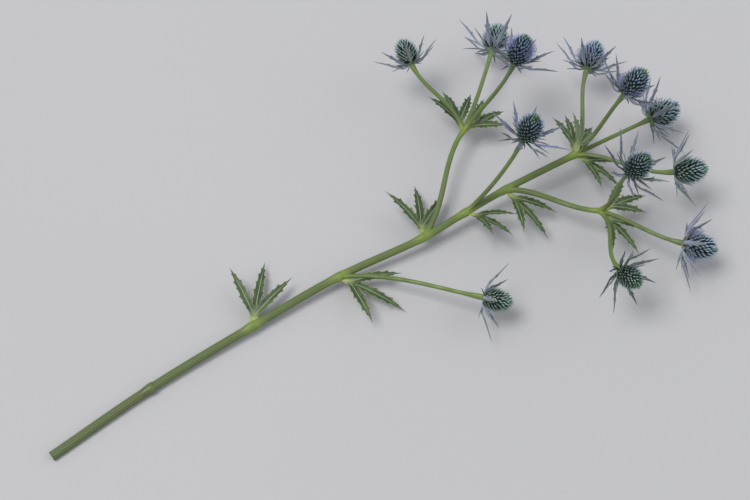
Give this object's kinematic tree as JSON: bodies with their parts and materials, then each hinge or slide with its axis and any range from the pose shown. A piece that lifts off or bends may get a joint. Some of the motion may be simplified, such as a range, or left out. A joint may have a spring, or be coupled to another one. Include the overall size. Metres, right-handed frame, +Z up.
{
  "type": "sea holly stem",
  "caption": "Cut branched sea holly stem lying on its side: egg-shaped spiky flower heads on ruffs of toothed bracts, with cut spiny leaves at the forks.",
  "frame": {"origin": "centre of the whole stem's footprint, on the surface that it lies on", "axes": "+X along the stem from the cut end to the flower heads, +Y to the left, +Z up from the surface"},
  "size_m": [0.6768, 0.3504, 0.1424],
  "materials": {
    "stalk": "satin",
    "floret": "matte",
    "bract": "satin",
    "leaf": "satin"
  },
  "bodies": {
    "root": {"stem": "stalk", "head_1": "floret", "head_2": "floret", "head_3": "floret", "head_4": "floret", "head_5": "floret", "head_6": "floret", "head_7": "floret", "head_8": "floret", "head_9": "floret", "head_10": "floret", "head_11": "floret", "head_12": "floret", "bracts_1": "bract", "bracts_2": "bract", "bracts_3": "bract", "bracts_4": "bract", "bracts_5": "bract", "bracts_6": "bract", "bracts_7": "bract", "bracts_8": "bract", "bracts_9": "bract", "bracts_10": "bract", "bracts_11": "bract", "bracts_12": "bract", "leaf_1": "leaf", "leaf_2": "leaf", "leaf_3": "leaf", "leaf_4": "leaf", "leaf_5": "leaf", "leaf_6": "leaf", "leaf_7": "leaf", "leaf_8": "leaf", "leaf_9": "leaf", "leaf_10": "leaf", "leaf_11": "leaf", "leaf_12": "leaf"}
  },
  "joints": []
}
